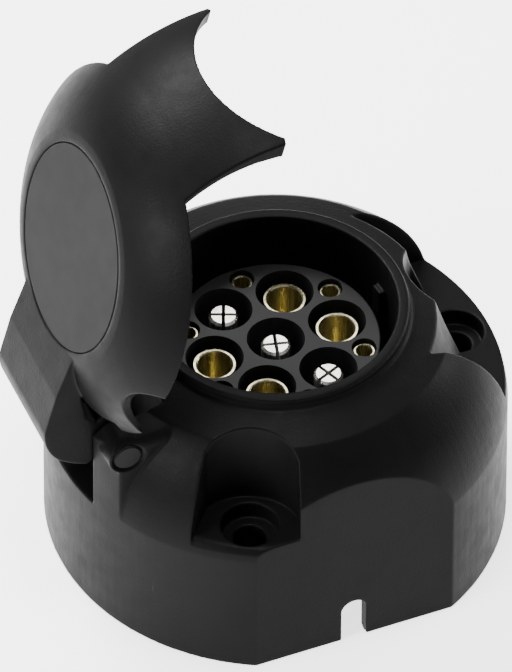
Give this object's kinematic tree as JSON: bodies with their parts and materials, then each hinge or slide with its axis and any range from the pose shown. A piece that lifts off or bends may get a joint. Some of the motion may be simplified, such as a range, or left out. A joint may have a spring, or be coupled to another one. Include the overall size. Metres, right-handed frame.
{
  "type": "trailer wiring socket",
  "caption": "Round black plastic trailer wiring socket with screw-on base, brass and pin contacts in an open mouth, and a sprung hinged lid standing open.",
  "frame": {"origin": "centre of the mounting face, on the axis of the mouth", "axes": "+Z out of the mouth; -X to the hinge; +X to the front of the lid"},
  "size_m": [0.0842, 0.0731, 0.1052],
  "materials": {
    "black_shell": "fine spark-eroded grain, satin",
    "black_disc": "smooth satin",
    "insert_plastic": "smooth satin",
    "brass": "bright turned",
    "plated_contact": "bright nickel plate",
    "black_rubber": "matte",
    "hinge_pin": "smooth black",
    "screw_steel": "zinc plate"
  },
  "bodies": {
    "base": {"contact_insert": "insert_plastic", "hinge_pin": "hinge_pin", "housing": "black_shell", "insert_screws": "screw_steel", "insert_seal": "black_rubber", "pin_contact_1": "plated_contact", "pin_contact_2": "plated_contact", "pin_contact_3": "plated_contact", "rear_gasket": "black_rubber", "sleeve_contact_1": "brass", "sleeve_contact_2": "brass", "sleeve_contact_3": "brass", "sleeve_contact_4": "brass", "small_contact_1": "brass", "small_contact_2": "brass", "small_contact_3": "brass", "small_contact_4": "brass", "small_contact_5": "brass", "small_contact_6": "brass", "terminal_screws": "screw_steel", "torsion_spring": "screw_steel"},
    "lid": {"lid_shell": "black_shell", "lid_inlay": "black_disc", "lid_seal": "black_rubber"}
  },
  "joints": [
    {"name": "lid_hinge", "type": "hinge", "parent": "base", "child": "lid", "pos_m": [-0.03325, 0, 0.0392], "axis": [0, -1, 0], "range_deg": [-75.5, 20]}
  ]
}
